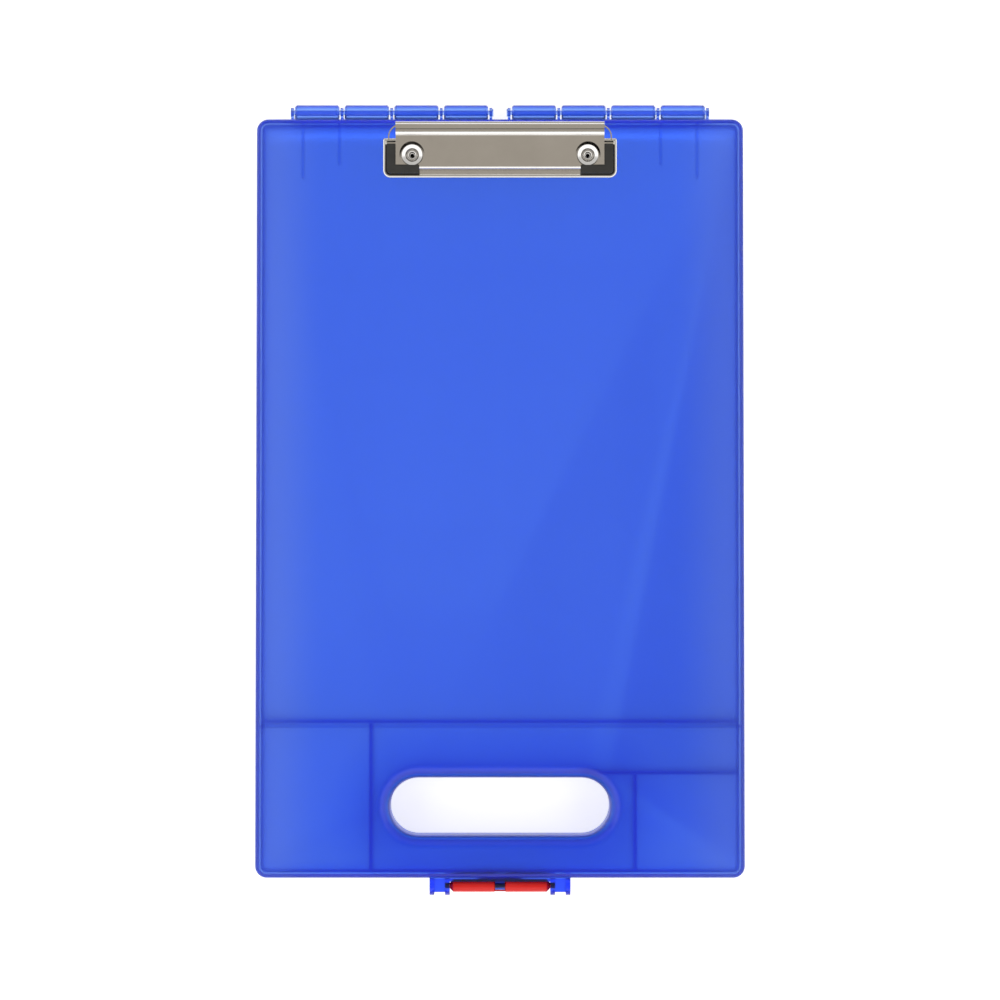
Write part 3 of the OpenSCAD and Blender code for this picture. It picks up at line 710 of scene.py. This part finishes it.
@dataclass
class Clip:
    """The sprung paper clip: pressed base and jaw, pin, springs, rolled rivets and rubber corners."""

    pressed_edge_mm: float = 0.16
    pin_edge_mm: float = 0.35
    grip_edge_mm: float = 0.45
    rivet_x: float = 45.75
    rivet_y: float = 178.1
    board_under: float = 25.8
    base_top: float = 29.0
    head_r: float = 3.4
    head_h: float = 1.0
    cup_r: float = 5.6
    cup_h: float = 1.95
    cup_dip: float = 1.1
    shank_r: float = 2.1
    eye_r: float = 1.4
    eye_depth: float = 2.6
    wire_r: float = 0.3
    coil_r: float = 1.63
    coil_pitch: float = 0.72
    coil_turns: float = 9.5
    coil_start: float = 44.46
    pivot_y: float = 190.3
    pivot_z: float = 33.5
    wire_end_z: float = 29.35
    collar_steps: int = 48
    rivet_steps: int = 40
    turned_smooth_deg: float = 50.0
    wire_sides: int = 10
    coil_steps: int = 28
    spring_smooth_deg: float = 60.0

    def build(self) -> None:
        """Builds every piece of the clip."""
        self.build_pressings()
        self.build_cups()
        self.build_rivets()
        for side, node in ((1, "clip_spring_right"), (-1, "clip_spring_left")):
            self.build_spring(side, node)
        for node in ("grip_left", "grip_right"):
            shape = merged(node)
            soften(shape, self.grip_edge_mm, segments=3)
            add_piece(shape, f"rubber_{node}", Body.JAW, GRIP_RUBBER, (node,))

    def build_pressings(self) -> None:
        """Builds the base, the jaw and the pin with the soft edges of pressed and cut steel."""
        parts = (
            ("clip_base", "pressed_clip_base", Body.LID, self.pressed_edge_mm),
            ("clip_jaw", "pressed_clip_jaw", Body.JAW, self.pressed_edge_mm),
            ("clip_pin", "clip_hinge_pin", Body.LID, self.pin_edge_mm),
        )
        for node, name, body, edge in parts:
            shape = merged(node)
            soften(shape, edge)
            add_piece(shape, name, body, CLIP_STEEL, (node,))

    def turned_pair(self, profile: list[tuple[float, float]], steps: int) -> bmesh.types.BMesh:
        """Turns a profile round both rivets' axes.

        Args:
            profile: its points as (radius, height) in millimetres, with the first one again at the end if it's closed.
            steps: faces round a full turn.

        Returns:
            One shape with both turned solids.
        """
        pair = bmesh.new()
        for side in (-1, 1):
            centre = Vector((side * self.rivet_x, self.rivet_y, 0.0)) * MM
            points = [pair.verts.new(centre + Vector((r, 0.0, z)) * MM) for r, z in profile]
            edges = [pair.edges.new(ends) for ends in zip(points, points[1:])]
            bmesh.ops.spin(
                pair,
                geom=points + edges,
                cent=centre,
                axis=(0.0, 0.0, 1.0),
                angle=math.tau,
                steps=steps,
                use_merge=True,
            )
        bmesh.ops.remove_doubles(pair, verts=pair.verts, dist=MERGE_M)
        bmesh.ops.recalc_face_normals(pair, faces=pair.faces)
        return pair

    def build_cups(self) -> None:
        """Spins the dished collar that is pressed up round each rivet and reflects the light above it."""
        profile = [
            (self.cup_r - 0.1, self.base_top - 0.2),
            (self.cup_r, self.base_top + 0.1),
            (self.cup_r, self.base_top + self.cup_h - 0.2),
            (self.cup_r - 0.15, self.base_top + self.cup_h),
            (self.cup_r - 0.35, self.base_top + self.cup_h - 0.02),
            (self.head_r + 0.5, self.base_top + self.cup_dip + 0.12),
            (self.head_r + 0.15, self.base_top + self.cup_dip),
            (self.head_r + 0.05, self.base_top + self.cup_dip - 0.1),
            (self.head_r + 0.05, self.base_top - 0.2),
        ]
        collars = self.turned_pair(profile + profile[:1], self.collar_steps)
        add_piece(collars, "rivet_collars", Body.LID, CLIP_STEEL, (), self.turned_smooth_deg)

    def build_rivets(self) -> None:
        """Spins the two eyelet rivets: a rolled head over the base and a flat one under the board."""
        crown = self.base_top + self.head_h
        foot = self.board_under - self.head_h
        lip = self.head_h / 2
        profile = [
            (0.0, crown - self.eye_depth),
            (self.eye_r * 0.8, crown - self.eye_depth),
            (self.eye_r, crown - self.eye_depth + 0.2),
            (self.eye_r, crown - 0.75),
            (self.eye_r + 0.12, crown - 0.4),
            (self.eye_r + 0.42, crown - 0.12),
            (self.eye_r + 0.85, crown),
            (self.head_r - 0.8, crown),
            (self.head_r - 0.35, crown - 0.12),
            (self.head_r - 0.08, crown - 0.38),
            (self.head_r, crown - lip - 0.1),
            (self.head_r - 0.12, self.base_top + 0.1),
            (self.head_r - 0.3, self.base_top),
            (self.shank_r, self.base_top),
            (self.shank_r, self.board_under),
            (self.head_r - 0.2, self.board_under),
            (self.head_r, self.board_under - 0.2),
            (self.head_r - 0.15, foot + 0.2),
            (self.head_r - 0.5, foot),
            (self.eye_r + 0.3, foot),
            (self.eye_r, foot + 0.3),
            (self.eye_r, foot + self.eye_depth),
            (0.0, foot + self.eye_depth),
        ]
        rivets = self.turned_pair(profile, self.rivet_steps)
        add_piece(rivets, "eyelet_rivets", Body.LID, CLIP_STEEL, ("clip_rivets",), self.turned_smooth_deg)

    def build_spring(self, side: int, node: str) -> None:
        """Winds one spring round the pin from a straight leg on the base.

        Args:
            side: 1 for the right spring and -1 for the left one.
            node: the CAD node that it stands for.
        """
        steps = round(self.coil_turns * self.coil_steps)
        shape = bmesh.new()
        start = Vector((self.coil_start, self.pivot_y - self.coil_r, self.wire_end_z)) * MM
        made = bmesh.ops.create_circle(
            shape,
            cap_ends=False,
            radius=self.wire_r * MM,
            segments=self.wire_sides,
            matrix=Matrix.Translation(start),
        )
        foot = list(shape.edges)
        rise = Vector((0.0, 0.0, self.pivot_z - self.wire_end_z)) * MM
        grown = bmesh.ops.extrude_edge_only(shape, edges=foot)["geom"]
        tops = [part for part in grown if isinstance(part, bmesh.types.BMVert)]
        bmesh.ops.translate(shape, verts=tops, vec=rise)
        ring = [part for part in grown if isinstance(part, bmesh.types.BMEdge) and set(part.verts) <= set(tops)]
        bmesh.ops.spin(
            shape,
            geom=tops + ring,
            cent=Vector((self.coil_start, self.pivot_y, self.pivot_z)) * MM,
            axis=(-1.0, 0.0, 0.0),
            dvec=(self.coil_turns * self.coil_pitch / steps * MM, 0.0, 0.0),
            angle=math.tau * self.coil_turns,
            steps=steps,
        )
        bmesh.ops.remove_doubles(shape, verts=shape.verts, dist=0.001 * MM)
        bmesh.ops.holes_fill(shape, edges=[edge for edge in shape.edges if edge.is_boundary], sides=0)
        if side < 0:
            bmesh.ops.scale(shape, verts=shape.verts, vec=(-1.0, 1.0, 1.0))
        bmesh.ops.recalc_face_normals(shape, faces=shape.faces)
        add_piece(shape, f"wound_{node}", Body.JAW, SPRING_STEEL, (node,), self.spring_smooth_deg)


@dataclass
class Studio:
    """Floor, world light and the camera."""

    floor_side: float = 12.0
    target: tuple[float, float, float] = (0.0, -0.0015, 0.025)
    elevation: float = 88.3
    distance: float = 1.5
    frame_side: float = 0.5206
    # Brightness and tint of the room by height above the horizon, from 0 to 1 overhead
    levels: tuple[tuple[float, float, str], ...] = (
        (0.0, 0.4, "ffffff"),
        (0.06, 1.3, "ffffff"),
        (0.84, 1.55, "ffffff"),
        (0.875, 0.12, "ffffff"),
        (0.91, 0.12, "fffaf2"),
        (0.935, 0.45, "fff8ec"),
        (1.0, 0.45, "fff5e6"),
    )
    # Share of that light that comes from behind the box, and the sine range in Y over which it falls to it
    behind: float = 0.5
    behind_from: float = 0.15
    behind_to: float = 0.45
    # A colour ramp holds no value above 1, so it holds the levels divided by this
    brightest: float = 2.0
    paper: str = "f0f0f0"
    floor_glow: float = 0.65

    def build(self) -> None:
        """Builds the whole studio."""
        self.build_floor()
        self.build_world()
        self.build_camera()

    def build_floor(self) -> None:
        """Lays a plain white floor under the box."""
        shape = bmesh.new()
        bmesh.ops.create_grid(shape, x_segments=1, y_segments=1, size=self.floor_side / 2)
        mesh = bpy.data.meshes.new("floor")
        shape.to_mesh(mesh)
        shape.free()
        floor = bpy.data.objects.new("floor", mesh)
        bpy.context.scene.collection.objects.link(floor)
        floor.location.z = CAD_BOX[0][2]
        paint = bpy.data.materials.new("white_paper")
        paint.use_nodes = True
        tree = paint.node_tree
        tree.nodes.clear()
        ray = add_node(tree, "ShaderNodeLightPath")
        seen = add_node(
            tree,
            "ShaderNodeMath",
            links={0: ray.outputs["Is Camera Ray"], 1: ray.outputs["Is Glossy Ray"]},
            operation="MAXIMUM",
        )
        shown = add_node(
            tree,
            "ShaderNodeMath",
            links={0: seen.outputs[0], 1: ray.outputs["Is Transmission Ray"]},
            operation="MAXIMUM",
        )
        glow = add_node(
            tree,
            "ShaderNodeMath",
            {1: self.floor_glow},
            {0: shown.outputs[0]},
            operation="MULTIPLY",
        )
        light = add_node(tree, "ShaderNodeEmission", {"Color": linear("ffffff")}, {"Strength": glow.outputs[0]})
        matt = add_node(tree, "ShaderNodeBsdfDiffuse", {"Color": linear(self.paper)})
        both = add_node(tree, "ShaderNodeAddShader", links={0: matt.outputs[0], 1: light.outputs[0]})
        add_node(tree, "ShaderNodeOutputMaterial", links={"Surface": both.outputs[0]})
        mesh.materials.append(paint)

    def build_world(self) -> None:
        """Lights the room: a ring of soft boxes, weaker behind the box, round a dark gap and a beige ceiling."""
        world = bpy.data.worlds.new("studio")
        bpy.context.scene.world = world
        world.use_nodes = True
        tree = world.node_tree
        tree.nodes.clear()
        way = add_node(tree, "ShaderNodeTexCoord").outputs["Generated"]
        parts = add_node(tree, "ShaderNodeSeparateXYZ", links={0: way})
        ramp = add_node(tree, "ShaderNodeValToRGB", links={0: parts.outputs["Z"]})
        stops = []
        for height, level, tint in self.levels:
            stops.append((height, tuple(part * level / self.brightest for part in linear(tint))))
        set_stops(ramp, stops)
        towards = add_node(
            tree,
            "ShaderNodeMapRange",
            {1: self.behind_from, 2: self.behind_to, 3: self.brightest, 4: self.brightest * self.behind},
            {0: parts.outputs["Y"]},
            interpolation_type="SMOOTHSTEP",
        )
        light = add_node(
            tree,
            "ShaderNodeBackground",
            links={"Color": ramp.outputs[0], "Strength": towards.outputs[0]},
        )
        backdrop = add_node(tree, "ShaderNodeBackground", {"Color": linear("ffffff"), "Strength": 1.0})
        seen = add_node(tree, "ShaderNodeLightPath").outputs["Is Camera Ray"]
        shown = add_node(tree, "ShaderNodeMixShader", links={0: seen, 1: light.outputs[0], 2: backdrop.outputs[0]})
        add_node(tree, "ShaderNodeOutputWorld", links={"Surface": shown.outputs[0]})

    def build_camera(self) -> None:
        """Looks down on the box from just in front of the vertical."""
        data = bpy.data.cameras.new("camera")
        camera = bpy.data.objects.new("camera", data)
        bpy.context.scene.collection.objects.link(camera)
        tilt = math.radians(self.elevation)
        back = Vector((0.0, -math.cos(tilt), math.sin(tilt)))
        camera.location = Vector(self.target) + back * self.distance
        camera.rotation_mode = "QUATERNION"
        camera.rotation_quaternion = (-back).to_track_quat("-Z", "Y")
        data.sensor_width = 36.0
        data.lens = data.sensor_width * self.distance / self.frame_side
        bpy.context.scene.camera = camera


def main() -> None:
    """Builds and dresses every sub-assembly, then the studio."""
    logging.basicConfig(level=logging.INFO, format="%(message)s")
    for part in (Case(), Latch(), Clip(), Studio()):
        part.build()
    bpy.context.scene.view_settings.view_transform = "Standard"


if __name__ == "__main__":
    main()
